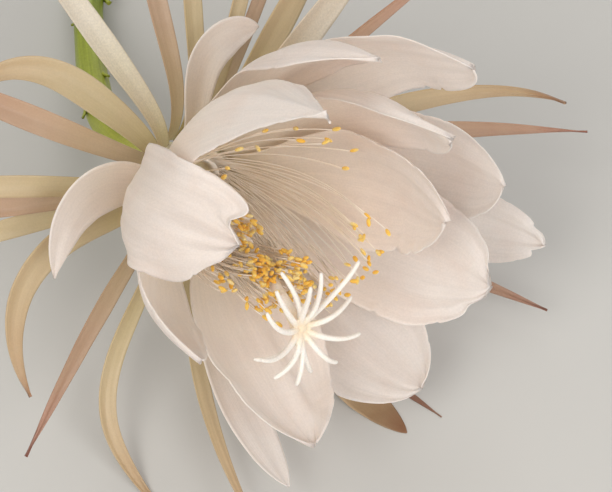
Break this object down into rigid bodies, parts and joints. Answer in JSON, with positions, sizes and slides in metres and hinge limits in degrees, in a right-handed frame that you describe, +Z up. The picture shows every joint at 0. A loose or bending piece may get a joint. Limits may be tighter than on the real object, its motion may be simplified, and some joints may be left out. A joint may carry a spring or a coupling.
{
  "type": "orchid cactus flower",
  "caption": "Picked night-blooming orchid cactus flower lying on its side, cup of broad white tepals within a fan of narrow ones, with stamens, star stigma and curved floral tube.",
  "frame": {"origin": "on the table, under the middle of the bloom's bounding box", "axes": "+Z up from the table the flower lies on, +Y from the open cup back along the floral tube, +X to the right of a viewer who faces +Y"},
  "size_m": [0.2462, 0.2523, 0.1653],
  "materials": {
    "floral_tube": "waxy yellow-green skin with small scales",
    "inner_tepal": "soft white to cream petal with fine lengthwise veins and a faint pink blush",
    "outer_tepal": "cream to olive strap that turns pinkish brown towards its tip",
    "stamens": "pale cream filaments with grainy yellow-orange anthers",
    "pistil": "smooth cream style and white velvety stigma lobes"
  },
  "bodies": {
    "root": {"floral_tube": "floral_tube", "inner_tepal_01": "inner_tepal", "inner_tepal_02": "inner_tepal", "inner_tepal_03": "inner_tepal", "inner_tepal_04": "inner_tepal", "inner_tepal_05": "inner_tepal", "inner_tepal_06": "inner_tepal", "inner_tepal_07": "inner_tepal", "inner_tepal_08": "inner_tepal", "inner_tepal_09": "inner_tepal", "inner_tepal_10": "inner_tepal", "inner_tepal_11": "inner_tepal", "inner_tepal_12": "inner_tepal", "outer_tepal_01": "outer_tepal", "outer_tepal_02": "outer_tepal", "outer_tepal_03": "outer_tepal", "outer_tepal_04": "outer_tepal", "outer_tepal_05": "outer_tepal", "outer_tepal_06": "outer_tepal", "outer_tepal_07": "outer_tepal", "outer_tepal_08": "outer_tepal", "outer_tepal_09": "outer_tepal", "outer_tepal_10": "outer_tepal", "outer_tepal_11": "outer_tepal", "outer_tepal_12": "outer_tepal", "outer_tepal_13": "outer_tepal", "outer_tepal_14": "outer_tepal", "outer_tepal_15": "outer_tepal", "outer_tepal_16": "outer_tepal", "outer_tepal_17": "outer_tepal", "outer_tepal_18": "outer_tepal", "outer_tepal_19": "outer_tepal", "outer_tepal_20": "outer_tepal", "outer_tepal_21": "outer_tepal", "outer_tepal_22": "outer_tepal", "outer_tepal_23": "outer_tepal", "outer_tepal_24": "outer_tepal", "outer_tepal_25": "outer_tepal", "outer_tepal_26": "outer_tepal", "outer_tepal_27": "outer_tepal", "outer_tepal_28": "outer_tepal", "stamens": "stamens", "pistil": "pistil"}
  },
  "joints": []
}
